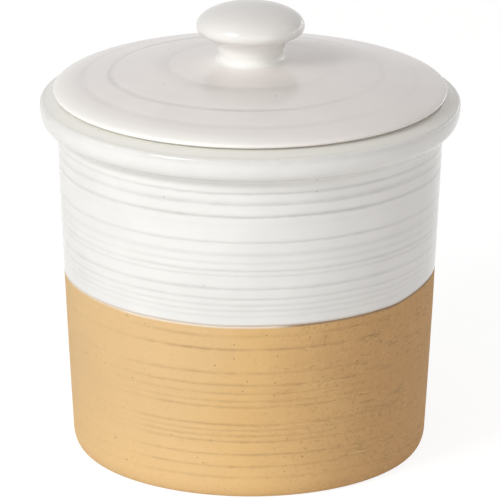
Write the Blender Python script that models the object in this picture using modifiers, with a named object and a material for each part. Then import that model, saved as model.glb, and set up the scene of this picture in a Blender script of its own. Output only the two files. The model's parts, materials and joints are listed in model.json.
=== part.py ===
# Lidded stoneware jar: a turned pot, the white glaze coat on its upper half and inside,
# a domed lid with a flange, the knob joined to the lid, and the sealing ring on the flange.
# Metres, +Z up. The origin is the centre of the base, on the surface that the jar stands on.

import math

import bpy

MM = 0.001

# Jar, outside
JAR_HEIGHT = 146.9 * MM  # base to the crown of the rim
BASE_RADIUS = 71.3 * MM  # where the wall meets the rounded foot
NECK_RADIUS = 77.0 * MM  # where the wall meets the flare of the rim
WALL_BULGE = 0.3 * MM  # how far the wall swells past a straight line, halfway up
FOOT_ROUND_HEIGHT = 7.5 * MM
FOOT_ROUND_WIDTH = 3.6 * MM
FOOT_RING_WIDTH = 8.0 * MM  # the flat ring that the jar stands on
FOOT_RECESS = 1.5 * MM  # how far the underside is hollowed inside that ring
RIM_OVERHANG = 7.0 * MM  # how far the rim stands out past the neck
RIM_DROP = 3.9 * MM  # crown of the rim down to its widest line
CREASE_SETBACK = 1.6 * MM  # widest line in to the crease between the rim's top and its roll
CREASE_RISE = 1.55 * MM  # widest line up to that crease
FLARE_HEIGHT = 13.1 * MM  # widest line down to the neck

# Jar, inside
NECK_THICKNESS = 7.5 * MM  # between the neck's outside and the mouth
WALL_THICKNESS = 7.0 * MM  # at the floor
CROWN_SETBACK = 4.0 * MM  # mouth out to the rim's highest line, where the lid rests
LIP_DROP = 3.2 * MM  # the rounding from the crown down into the mouth
FLOOR_THICKNESS = 8.0 * MM
FLOOR_CORNER = 9.0 * MM

# Glaze coat
GLAZE_LINE = 73.4 * MM  # height of its lower edge on the outside
GLAZE_THICKNESS = 0.8 * MM

# Throwing rings: each steps in by its depth and comes back out over a short ledge
RING_DEPTH = 0.5 * MM
RING_LEDGE = 0.7 * MM
LID_RING_DEPTH = 0.35 * MM
LID_RING_LEDGE = 1.2 * MM

# Lid. Its own heights start at the plane of its underside.
LID_OVERLAP = 9.1 * MM  # how far the lid reaches out past the mouth
LID_EDGE_ROUND = 5.5 * MM  # width of the rounded edge, seen from above
LID_EDGE_HEIGHT = 3.55 * MM  # underside to where the dome starts
LID_WIDEST_HEIGHT = 1.1 * MM
LID_DOME_RISE = 9.05 * MM
LID_THICKNESS = 5.5 * MM
FLANGE_PLAY = 1.1 * MM  # between the flange and the mouth
FLANGE_DEPTH = 13.0 * MM
FLANGE_THICKNESS = 5.5 * MM
FLANGE_ROUND = 1.2 * MM

# Sealing ring and its groove in the flange
GROOVE_DROP = 2.6 * MM  # underside of the lid down to the groove
GROOVE_DEPTH = 2.4 * MM
SEAL_HEIGHT = 6.0 * MM
SEAL_BAND = 1.6 * MM
FIN_ROOT = 1.6 * MM
FIN_TIP = 0.8 * MM

# Knob. Its own heights start at its foot.
KNOB_HEIGHT = 23.3 * MM
KNOB_RADIUS = 21.6 * MM
KNOB_WIDEST_HEIGHT = 14.5 * MM
KNOB_WAIST_RADIUS = 12.8 * MM  # the narrowest place of its neck
KNOB_WAIST_HEIGHT = 3.4 * MM
KNOB_FOOT_RADIUS = 14.6 * MM

CLEARANCE = 0.3 * MM  # between pieces that touch

# How far each curve's two handles reach, as shares of the size that it spans
RIM_TOP_SHARES = (0.5, 0.35, 0.48)
ROLL_SHARES = (0.5, 0.06, 0.57)
FLARE_SHARES = (0.67, 0.61, 0.35)
HOLLOW_SHARES = (0.2, 0.15, 0.1)
LIP_SHARES = (0.55, 0.6)
EDGE_TOP_SHARES = (0.35, 0.33)
EDGE_UNDER_SHARES = (0.55, 0.35)
KNOB_TOP_SHARES = (0.57, 0.55)
KNOB_UNDER_SHARES = (0.415, 0.165, 0.81)
KNOB_NECK_SHARES = (0.6, 0.75, 0.07)
# Where the rounded flare turns into the hollow above the neck, as shares of the flare
FLARE_TURN_SHARES = (0.45, 0.27)

# Rings on the glazed wall and on the bare wall: height as a share of that stretch of
# wall from its lower end, and depth as a share of the full ring depth
GLAZED_RING_SHARES = (
    (0.975, 0.7), (0.894, 0.8), (0.805, 0.7), (0.616, 0.9), (0.526, 0.6),
    (0.407, 0.9), (0.278, 1.0), (0.204, 0.7), (0.115, 0.7),
)
BARE_RING_SHARES = (
    (0.944, 0.6), (0.868, 1.0), (0.728, 0.7), (0.661, 1.0), (0.569, 0.7),
    (0.496, 0.5), (0.433, 1.0), (0.335, 1.0), (0.259, 0.7), (0.187, 0.6),
)
# Rings on the lid: radius as a share of the lid's radius, and depth as above
LID_RING_SHARES = ((0.433, 0.5), (0.687, 1.0), (0.85, 0.8))

# Counts
BODY_STEPS = 48
KNOB_STEPS = 36
CURVE_STEPS = 5
LIP_STEPS = 4
RIM_STEPS = 4
HOLLOW_STEPS = 3
WALL_STEPS = 4
DOME_STEPS = 5
EDGE_UNDER_STEPS = 3
FLANGE_STEPS = 2
CAP_STEPS = 7
MERGE_DISTANCE = 0.01 * MM

# Sizes that follow from the ones above
NECK_HEIGHT = JAR_HEIGHT - RIM_DROP - FLARE_HEIGHT
RIM_RADIUS = NECK_RADIUS + RIM_OVERHANG
MOUTH_RADIUS = NECK_RADIUS - NECK_THICKNESS
CROWN_RADIUS = MOUTH_RADIUS + CROWN_SETBACK
LID_RADIUS = MOUTH_RADIUS + LID_OVERLAP
INNER_BASE_RADIUS = BASE_RADIUS - WALL_THICKNESS
LID_REST_HEIGHT = JAR_HEIGHT + CLEARANCE
DOME_RADIUS = LID_RADIUS - LID_EDGE_ROUND
DOME_TOP = LID_EDGE_HEIGHT + LID_DOME_RISE
FLANGE_RADIUS = MOUTH_RADIUS - FLANGE_PLAY
GROOVE_RADIUS = FLANGE_RADIUS - GROOVE_DEPTH
GROOVE_HEIGHT = SEAL_HEIGHT + 2 * CLEARANCE


def curve(start, lead, arrive, end, steps=CURVE_STEPS):
    """Points along a cubic from start to end, both ends included."""
    points = []
    for step in range(steps + 1):
        t = step / steps
        s = 1 - t
        weights = (s * s * s, 3 * s * s * t, 3 * s * t * t, t * t * t)
        corners = (start, lead, arrive, end)
        radius = sum(w * c[0] for w, c in zip(weights, corners))
        height = sum(w * c[1] for w, c in zip(weights, corners))
        points.append((radius, height))
    return points


def quarter(centre, width, height, start_angle, steps=CURVE_STEPS):
    """Points along a quarter of an ellipse, turning clockwise from start_angle."""
    points = []
    for step in range(steps + 1):
        angle = math.radians(start_angle - 90 * step / steps)
        points.append((centre[0] + width * math.cos(angle), centre[1] + height * math.sin(angle)))
    return points


def inset(outline, distance):
    """The same open outline, moved into the clay, which lies on its right."""
    normals = []
    for (r0, z0), (r1, z1) in zip(outline, outline[1:]):
        length = math.hypot(r1 - r0, z1 - z0)
        normals.append(((z1 - z0) / length, (r0 - r1) / length))
    moved = []
    for index, (radius, height) in enumerate(outline):
        before = normals[max(index - 1, 0)]
        after = normals[min(index, len(normals) - 1)]
        scale = distance / (1 + before[0] * after[0] + before[1] * after[1])
        moved.append((radius + (before[0] + after[0]) * scale, height + (before[1] + after[1]) * scale))
    return moved


def wall_share(height):
    """How far up the wall a height lies, from 0 at the foot to 1 at the neck."""
    return (height - FOOT_ROUND_HEIGHT) / (NECK_HEIGHT - FOOT_ROUND_HEIGHT)


def outer_radius(height):
    share = wall_share(height)
    swell = 4 * WALL_BULGE * share * (1 - share)
    return BASE_RADIUS + (NECK_RADIUS - BASE_RADIUS) * share + swell


def inner_radius(height):
    share = wall_share(height)
    swell = 4 * WALL_BULGE * share * (1 - share)
    return INNER_BASE_RADIUS + (MOUTH_RADIUS - INNER_BASE_RADIUS) * share + swell


def inside_outline():
    """From the middle of the floor out and up the inner wall to the mouth."""
    corner_height = FLOOR_THICKNESS + FLOOR_CORNER
    corner_radius = inner_radius(corner_height)
    centre = (corner_radius - FLOOR_CORNER, corner_height)
    rounding = quarter(centre, FLOOR_CORNER, FLOOR_CORNER, 0)
    rounding.reverse()
    points = [(0, FLOOR_THICKNESS)] + rounding
    for step in range(1, WALL_STEPS + 1):
        height = corner_height + (NECK_HEIGHT - corner_height) * step / WALL_STEPS
        points.append((inner_radius(height), height))
    return points


def rim_outline():
    """From the mouth over the crown of the rim and down to the neck."""
    lip_start = JAR_HEIGHT - LIP_DROP
    lip = curve(
        (MOUTH_RADIUS, lip_start),
        (MOUTH_RADIUS, lip_start + LIP_DROP * LIP_SHARES[0]),
        (CROWN_RADIUS - (CROWN_RADIUS - MOUTH_RADIUS) * LIP_SHARES[1], JAR_HEIGHT),
        (CROWN_RADIUS, JAR_HEIGHT),
        steps=LIP_STEPS,
    )
    widest_height = JAR_HEIGHT - RIM_DROP
    crease = (RIM_RADIUS - CREASE_SETBACK, widest_height + CREASE_RISE)
    top_width = crease[0] - CROWN_RADIUS
    top_fall = JAR_HEIGHT - crease[1]
    top = curve(
        (CROWN_RADIUS, JAR_HEIGHT),
        (CROWN_RADIUS + top_width * RIM_TOP_SHARES[0], JAR_HEIGHT),
        (crease[0] - top_width * RIM_TOP_SHARES[1], crease[1] + top_fall * RIM_TOP_SHARES[2]),
        crease,
        steps=RIM_STEPS,
    )
    roll = curve(
        crease,
        (crease[0] + CREASE_SETBACK * ROLL_SHARES[0], crease[1] - CREASE_RISE * ROLL_SHARES[1]),
        (RIM_RADIUS, widest_height + CREASE_RISE * ROLL_SHARES[2]),
        (RIM_RADIUS, widest_height),
        steps=RIM_STEPS,
    )
    turn_point = (
        NECK_RADIUS + RIM_OVERHANG * FLARE_TURN_SHARES[0],
        NECK_HEIGHT + FLARE_HEIGHT * FLARE_TURN_SHARES[1],
    )
    flare = curve(
        (RIM_RADIUS, widest_height),
        (RIM_RADIUS, widest_height - FLARE_HEIGHT * FLARE_SHARES[0]),
        (NECK_RADIUS + RIM_OVERHANG * FLARE_SHARES[1], NECK_HEIGHT + FLARE_HEIGHT * FLARE_SHARES[2]),
        turn_point,
    )
    hollow = curve(
        turn_point,
        (NECK_RADIUS + RIM_OVERHANG * HOLLOW_SHARES[0], NECK_HEIGHT + FLARE_HEIGHT * HOLLOW_SHARES[1]),
        (NECK_RADIUS, NECK_HEIGHT + FLARE_HEIGHT * HOLLOW_SHARES[2]),
        (NECK_RADIUS, NECK_HEIGHT),
        steps=HOLLOW_STEPS,
    )
    return lip + top[1:] + roll[1:] + flare[1:] + hollow[1:]


def ringed_wall(top, bottom, ring_shares):
    """The outer wall from top down to bottom, stepping in at each throwing ring."""
    points = []
    for share, depth_share in ring_shares:
        height = bottom + (top - bottom) * share
        ledge = height - RING_LEDGE
        points.append((outer_radius(height) - RING_DEPTH * depth_share, height))
        points.append((outer_radius(ledge), ledge))
    return points


def foot_outline():
    """From the end of the wall round the foot, over the foot ring and in to the middle."""
    flat_radius = BASE_RADIUS - FOOT_ROUND_WIDTH
    recess_radius = flat_radius - FOOT_RING_WIDTH
    rounding = quarter((flat_radius, FOOT_ROUND_HEIGHT), FOOT_ROUND_WIDTH, FOOT_ROUND_HEIGHT, 0)
    return rounding + [
        (recess_radius, 0),
        (recess_radius - FOOT_RECESS, FOOT_RECESS),
        (0, FOOT_RECESS),
    ]


def coated_outline():
    """All that the glaze covers, without rings, from the floor to the glaze line."""
    wall = [(outer_radius(GLAZE_LINE), GLAZE_LINE)]
    return inside_outline() + rim_outline() + wall


def jar_outline():
    """The clay of the pot, set back under the glaze by the coat and a clearance."""
    ledge_height = GLAZE_LINE - CLEARANCE
    clay = inset(coated_outline(), GLAZE_THICKNESS + CLEARANCE)
    step = [(clay[-1][0], ledge_height), (outer_radius(ledge_height), ledge_height)]
    return clay + step + ringed_wall(ledge_height, 0, BARE_RING_SHARES) + foot_outline()


def glaze_outline():
    """The coat: its ringed face, its lower edge, then its plain back to the floor."""
    rings = ringed_wall(NECK_HEIGHT, GLAZE_LINE, GLAZED_RING_SHARES)
    face = inside_outline() + rim_outline() + rings + [(outer_radius(GLAZE_LINE), GLAZE_LINE)]
    back = inset(coated_outline(), GLAZE_THICKNESS)
    back.reverse()
    return face + back


def dome_height(radius):
    return DOME_TOP - LID_DOME_RISE * (radius / DOME_RADIUS) ** 2


def lid_top_outline():
    """From the middle of the lid, over the knob's seat and the ringed dome, to its edge."""
    seat_height = dome_height(KNOB_FOOT_RADIUS)
    points = [(0, seat_height), (KNOB_FOOT_RADIUS, seat_height)]
    for share, depth_share in LID_RING_SHARES:
        radius = LID_RADIUS * share
        middle = (points[-1][0] + radius) / 2
        points.append((middle, dome_height(middle)))
        points.append((radius, dome_height(radius) - LID_RING_DEPTH * depth_share))
        points.append((radius + LID_RING_LEDGE, dome_height(radius + LID_RING_LEDGE)))
    return points


def lid_edge_outline():
    """From the end of the dome round the edge to the underside."""
    slope = 2 * LID_DOME_RISE / DOME_RADIUS
    reach = LID_EDGE_ROUND * EDGE_TOP_SHARES[0]
    upper = curve(
        (DOME_RADIUS, LID_EDGE_HEIGHT),
        (DOME_RADIUS + reach, LID_EDGE_HEIGHT - reach * slope),
        (LID_RADIUS, LID_WIDEST_HEIGHT + (LID_EDGE_HEIGHT - LID_WIDEST_HEIGHT) * EDGE_TOP_SHARES[1]),
        (LID_RADIUS, LID_WIDEST_HEIGHT),
    )
    under_radius = LID_RADIUS - LID_WIDEST_HEIGHT
    lower = curve(
        (LID_RADIUS, LID_WIDEST_HEIGHT),
        (LID_RADIUS, LID_WIDEST_HEIGHT * (1 - EDGE_UNDER_SHARES[0])),
        (LID_RADIUS - LID_WIDEST_HEIGHT * EDGE_UNDER_SHARES[1], 0),
        (under_radius, 0),
        steps=EDGE_UNDER_STEPS,
    )
    return upper + lower[1:]


def flange_outline():
    """From the underside down the flange, with the seal's groove, and up its inner side."""
    inner = FLANGE_RADIUS - FLANGE_THICKNESS
    corner_height = FLANGE_ROUND - FLANGE_DEPTH
    outer_centre = (FLANGE_RADIUS - FLANGE_ROUND, corner_height)
    inner_centre = (inner + FLANGE_ROUND, corner_height)
    outer_corner = quarter(outer_centre, FLANGE_ROUND, FLANGE_ROUND, 0, FLANGE_STEPS)
    inner_corner = quarter(inner_centre, FLANGE_ROUND, FLANGE_ROUND, -90, FLANGE_STEPS)
    groove_bottom = -GROOVE_DROP - GROOVE_HEIGHT
    return [
        (FLANGE_RADIUS, 0),
        (FLANGE_RADIUS, -GROOVE_DROP),
        (GROOVE_RADIUS, -GROOVE_DROP),
        (GROOVE_RADIUS, groove_bottom),
        (FLANGE_RADIUS, groove_bottom),
    ] + outer_corner + inner_corner


def lid_under_outline():
    """The hollow under the dome, from the flange in to the middle."""
    start = FLANGE_RADIUS - FLANGE_THICKNESS
    points = []
    for step in range(DOME_STEPS + 1):
        radius = start * (1 - step / DOME_STEPS)
        points.append((radius, dome_height(radius) - LID_THICKNESS))
    return points


def lid_outline():
    return lid_top_outline() + lid_edge_outline() + flange_outline() + lid_under_outline()


def knob_outline():
    """From the top of the knob over its cap and down its neck to its foot."""
    rise = KNOB_HEIGHT - KNOB_WIDEST_HEIGHT
    top = curve(
        (0, KNOB_HEIGHT),
        (KNOB_RADIUS * KNOB_TOP_SHARES[0], KNOB_HEIGHT),
        (KNOB_RADIUS, KNOB_WIDEST_HEIGHT + rise * KNOB_TOP_SHARES[1]),
        (KNOB_RADIUS, KNOB_WIDEST_HEIGHT),
        steps=CAP_STEPS,
    )
    drop = KNOB_WIDEST_HEIGHT - KNOB_WAIST_HEIGHT
    overhang = KNOB_RADIUS - KNOB_WAIST_RADIUS
    under = curve(
        (KNOB_RADIUS, KNOB_WIDEST_HEIGHT),
        (KNOB_RADIUS, KNOB_WIDEST_HEIGHT - drop * KNOB_UNDER_SHARES[0]),
        (
            KNOB_WAIST_RADIUS + overhang * KNOB_UNDER_SHARES[1],
            KNOB_WAIST_HEIGHT + drop * KNOB_UNDER_SHARES[2],
        ),
        (KNOB_WAIST_RADIUS, KNOB_WAIST_HEIGHT),
        steps=CAP_STEPS,
    )
    spread = KNOB_FOOT_RADIUS - KNOB_WAIST_RADIUS
    foot = curve(
        (KNOB_WAIST_RADIUS, KNOB_WAIST_HEIGHT),
        (KNOB_WAIST_RADIUS, KNOB_WAIST_HEIGHT * (1 - KNOB_NECK_SHARES[0])),
        (KNOB_FOOT_RADIUS - spread * KNOB_NECK_SHARES[1], KNOB_WAIST_HEIGHT * KNOB_NECK_SHARES[2]),
        (KNOB_FOOT_RADIUS, 0),
    )
    return top + under[1:] + foot[1:] + [(0, 0)]


def seal_outline():
    """A band in the groove with a fin at its top and at its foot, as a closed loop."""
    top = -GROOVE_DROP - CLEARANCE
    bottom = top - SEAL_HEIGHT
    inner = GROOVE_RADIUS + CLEARANCE
    band = inner + SEAL_BAND
    tip = MOUTH_RADIUS - CLEARANCE
    return [
        (inner, top),
        (tip, top),
        (tip, top - FIN_TIP),
        (band, top - FIN_ROOT),
        (band, bottom + FIN_ROOT),
        (tip, bottom + FIN_TIP),
        (tip, bottom),
        (inner, bottom),
    ]


def make_material(name, colour, roughness):
    material = bpy.data.materials.new(name)
    material.use_nodes = True
    shader = material.node_tree.nodes["Principled BSDF"]
    shader.inputs["Base Color"].default_value = (*colour, 1)
    shader.inputs["Roughness"].default_value = roughness
    shader.inputs["Metallic"].default_value = 0
    material.diffuse_color = (*colour, 1)
    return material


def turn(name, outline, steps, material, collection, closed=False):
    """Turns an outline round the Z axis. Its outer side runs from top to bottom."""
    vertices = [(radius, 0, height) for radius, height in outline]
    edges = [(index, index + 1) for index in range(len(vertices) - 1)]
    if closed:
        edges.append((len(vertices) - 1, 0))
    mesh = bpy.data.meshes.new(name)
    mesh.from_pydata(vertices, edges, [])
    mesh.materials.append(material)
    item = bpy.data.objects.new(name, mesh)
    collection.objects.link(item)
    screw = item.modifiers.new("turning", "SCREW")
    screw.axis = "Z"
    screw.angle = 2 * math.pi
    screw.steps = steps
    screw.render_steps = steps
    screw.use_merge_vertices = True
    screw.merge_threshold = MERGE_DISTANCE
    screw.use_smooth_shade = True
    return item


def make_axis(name, height, collection):
    """An empty on the jar's axis, which a moving piece hangs from."""
    empty = bpy.data.objects.new(name, None)
    empty.location.z = height
    empty.empty_display_size = RIM_RADIUS
    collection.objects.link(empty)
    return empty


def main():
    for item in list(bpy.data.objects):
        bpy.data.objects.remove(item)
    collection = bpy.data.collections.new("lidded_jar")
    bpy.context.scene.collection.children.link(collection)

    clay = make_material("bare_stoneware", (0.68, 0.45, 0.23), 0.8)
    glaze = make_material("white_glaze", (0.80, 0.79, 0.76), 0.25)
    lid_glaze = make_material("lid_glaze", (0.78, 0.77, 0.74), 0.22)
    knob_glaze = make_material("knob_glaze", (0.79, 0.78, 0.75), 0.22)
    silicone = make_material("clear_silicone", (0.72, 0.73, 0.72), 0.5)

    turn("jar_body", jar_outline(), BODY_STEPS, clay, collection)
    turn("jar_glaze", glaze_outline(), BODY_STEPS, glaze, collection)

    lift_axis = make_axis("lid_lift_axis", LID_REST_HEIGHT, collection)
    turn_axis = make_axis("lid_turn_axis", 0, collection)
    turn_axis.parent = lift_axis
    seal = turn("lid_seal", seal_outline(), BODY_STEPS, silicone, collection, closed=True)
    seal.parent = lift_axis
    lid = turn("lid", lid_outline(), BODY_STEPS, lid_glaze, collection)
    lid.parent = turn_axis
    knob = turn("lid_knob", knob_outline(), KNOB_STEPS, knob_glaze, collection)
    knob.parent = turn_axis
    knob.location.z = dome_height(KNOB_FOOT_RADIUS) + CLEARANCE


main()
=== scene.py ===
# The looks of the lidded stoneware jar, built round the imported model: the bare clay pot, its white
# glaze, the domed lid, the knob and the sealing ring. Metres, +Z up, the jar's axis is the Z axis.
import json
import math

import bpy
from mathutils import Matrix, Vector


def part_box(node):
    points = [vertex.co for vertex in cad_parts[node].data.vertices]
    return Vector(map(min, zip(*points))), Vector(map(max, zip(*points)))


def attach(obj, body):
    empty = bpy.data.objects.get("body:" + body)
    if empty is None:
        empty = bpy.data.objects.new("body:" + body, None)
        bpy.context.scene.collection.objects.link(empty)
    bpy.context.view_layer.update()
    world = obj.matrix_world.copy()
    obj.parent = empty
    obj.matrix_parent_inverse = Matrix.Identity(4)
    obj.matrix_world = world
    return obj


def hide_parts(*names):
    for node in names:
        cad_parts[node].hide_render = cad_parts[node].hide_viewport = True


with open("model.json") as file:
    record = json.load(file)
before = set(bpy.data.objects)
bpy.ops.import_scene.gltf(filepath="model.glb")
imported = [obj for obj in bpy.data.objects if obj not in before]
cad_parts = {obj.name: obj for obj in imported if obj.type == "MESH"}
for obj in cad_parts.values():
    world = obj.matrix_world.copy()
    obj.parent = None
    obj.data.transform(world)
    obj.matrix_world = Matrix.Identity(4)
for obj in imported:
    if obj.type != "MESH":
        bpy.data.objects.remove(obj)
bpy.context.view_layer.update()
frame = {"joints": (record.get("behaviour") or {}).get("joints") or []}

mm = 0.001
jarLow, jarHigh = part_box("jar_body")
glazeLow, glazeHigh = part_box("jar_glaze")
lidLow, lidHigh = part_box("lid")
knobLow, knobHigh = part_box("lid_knob")
sealLow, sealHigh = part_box("lid_seal")
lidTurn = [joint for joint in frame["joints"] if joint["name"] == "lid_turn"][0]
lidRest = lidTurn["pos_m"][2]  # height of the lid's underside
jarHeight = glazeHigh.z
rimRadius = glazeHigh.x


# Outlines: lists of (radius, height), run so that the clay lies on their right

def curveRun(start, lead, arrive, end, steps):  # along a cubic, both ends included
    points = []
    for step in range(steps + 1):
        t = step / steps
        s = 1 - t
        weights = (s ** 3, 3 * s * s * t, 3 * s * t * t, t ** 3)
        corners = (start, lead, arrive, end)
        radius = sum(weight * corner[0] for weight, corner in zip(weights, corners))
        height = sum(weight * corner[1] for weight, corner in zip(weights, corners))
        points.append((radius, height))
    return points


def arcRun(centre, width, height, startAngle, steps):  # a quarter of an ellipse, clockwise
    points = []
    for step in range(steps + 1):
        angle = math.radians(startAngle - 90 * step / steps)
        points.append((centre[0] + width * math.cos(angle), centre[1] + height * math.sin(angle)))
    return points


def straightRun(start, end, spacing):  # a straight line with a point about every spacing
    count = max(1, round(math.dist(start, end) / spacing))
    points = []
    for step in range(count + 1):
        share = step / count
        points.append((start[0] + (end[0] - start[0]) * share, start[1] + (end[1] - start[1]) * share))
    return points


def formulaRun(formula, start, end, spacing):  # formula gives a point for each value on the way
    count = max(1, round(abs(end - start) / spacing))
    return [formula(start + (end - start) * step / count) for step in range(count + 1)]


def joined(*runs):  # one outline, without the doubles where two runs meet
    points = []
    for run in runs:
        for point in run:
            if not points or math.dist(points[-1], point) > 0.002 * mm:
                points.append(point)
    return points


def setBack(outline, distance):  # the same open outline, moved into the clay
    normals = []
    for (r0, z0), (r1, z1) in zip(outline, outline[1:]):
        length = math.hypot(r1 - r0, z1 - z0)
        normals.append(((z1 - z0) / length, (r0 - r1) / length))
    moved = []
    for index, (radius, height) in enumerate(outline):
        before = normals[max(index - 1, 0)]
        after = normals[min(index, len(normals) - 1)]
        scale = distance / (1 + before[0] * after[0] + before[1] * after[1])
        moved.append((radius + (before[0] + after[0]) * scale, height + (before[1] + after[1]) * scale))
    return moved


# Small helpers for node trees

def put(tree, kind, inputs=(), **settings):  # adds a node; an input is a value or another socket
    node = tree.nodes.new(kind)
    for name, value in settings.items():
        setattr(node, name, value)
    for key, value in dict(inputs).items():
        if isinstance(value, bpy.types.NodeSocket):
            tree.links.new(value, node.inputs[key])
        else:
            node.inputs[key].default_value = value
    return node


def calc(tree, operation, *values, clamp=False):
    return put(tree, "ShaderNodeMath", enumerate(values), operation=operation, use_clamp=clamp).outputs[0]


def ranged(tree, value, start, end, low=0.0, high=1.0, way="SMOOTHSTEP"):
    values = (value, start, end, low, high)
    return put(tree, "ShaderNodeMapRange", enumerate(values), interpolation_type=way).outputs[0]


def noise(tree, vector, scale, detail=2.0, roughness=0.5):
    inputs = {"Vector": vector, "Scale": scale, "Detail": detail, "Roughness": roughness}
    return put(tree, "ShaderNodeTexNoise", inputs).outputs[0]


def combined(tree, x, y, z):
    return put(tree, "ShaderNodeCombineXYZ", enumerate((x, y, z))).outputs[0]


def newGroup(name, kind, inputs, outputs):  # inputs and outputs are (name, socket type, value)
    tree = bpy.data.node_groups.new(name, kind)
    for label, socketType, value in inputs:
        socket = tree.interface.new_socket(name=label, in_out="INPUT", socket_type=socketType)
        if value is not None:
            socket.default_value = value
    for label, socketType in outputs:
        tree.interface.new_socket(name=label, in_out="OUTPUT", socket_type=socketType)
    return tree, put(tree, "NodeGroupInput").outputs, put(tree, "NodeGroupOutput").inputs


# Throwing marks. Along the wall or out across the lid, the surface sinks over a run and comes
# back over a short ledge. Each mark wanders a little and is deeper on one side than another.
# Where it is deepest it also gives a line, which the finishes darken as painted shade; in the glaze partly glaze
# pooled there.

def buildOneMark():
    inputs = [
        ("Along", "NodeSocketFloat", 0.0),
        ("Round", "NodeSocketVector", None),
        ("Place", "NodeSocketFloat", 0.0),
        ("Depth", "NodeSocketFloat", 0.3 * mm),
        ("Run", "NodeSocketFloat", 4 * mm),
        ("Ledge", "NodeSocketFloat", 0.7 * mm),
        ("Wander", "NodeSocketFloat", 0.3 * mm),
        ("Unevenness", "NodeSocketFloat", 0.5),
        ("Drift", "NodeSocketFloat", 0.0),  # how far the mark strays on the left
        ("Seed", "NodeSocketFloat", 0.0),
    ]
    outputs = [("Cut", "NodeSocketFloat"), ("Line", "NodeSocketFloat")]
    tree, given, result = newGroup("oneMark", "GeometryNodeTree", inputs, outputs)
    x, y, z = put(tree, "ShaderNodeSeparateXYZ", {0: given["Round"]}).outputs
    wander = noise(tree, combined(tree, x, y, given["Seed"]), 2.5, 4.0, 0.6)
    wander = ranged(tree, wander, 0.25, 0.75, -1.0, 1.0, "LINEAR")
    place = calc(tree, "MULTIPLY_ADD", wander, given["Wander"], given["Place"])
    leftward = calc(tree, "POWER", calc(tree, "MAXIMUM", calc(tree, "MULTIPLY", x, -1.0), 0.0), 2.0)
    place = calc(tree, "MULTIPLY_ADD", leftward, given["Drift"], place)
    distance = calc(tree, "SUBTRACT", given["Along"], place)
    sinking = ranged(tree, distance, calc(tree, "MULTIPLY", given["Run"], -1.0), 0.0, way="LINEAR")
    sinking = calc(tree, "POWER", sinking, 1.7)
    rising = ranged(tree, distance, 0.0, given["Ledge"], 1.0, 0.0)
    other = calc(tree, "ADD", given["Seed"], 31.7)
    uneven = ranged(tree, noise(tree, combined(tree, x, y, other), 1.9, 2.0), 0.32, 0.68)
    strength = calc(tree, "SUBTRACT", 1.0, calc(tree, "MULTIPLY", given["Unevenness"], uneven))
    shape = calc(tree, "MULTIPLY", calc(tree, "MULTIPLY", sinking, rising), given["Depth"])
    tree.links.new(calc(tree, "MULTIPLY", shape, strength), result["Cut"])
    darkening = ranged(tree, distance, calc(tree, "MULTIPLY", given["Run"], -0.65), 0.1 * mm)
    clearing = ranged(tree, distance, 0.1 * mm, calc(tree, "MULTIPLY", given["Ledge"], 1.25), 1.0, 0.0)
    line = calc(tree, "MULTIPLY", darkening, clearing)
    tree.links.new(calc(tree, "MULTIPLY", line, strength), result["Line"])
    return tree


fadeTurn = math.radians(8)  # the marks that fade are at their full strength here and opposite


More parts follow.
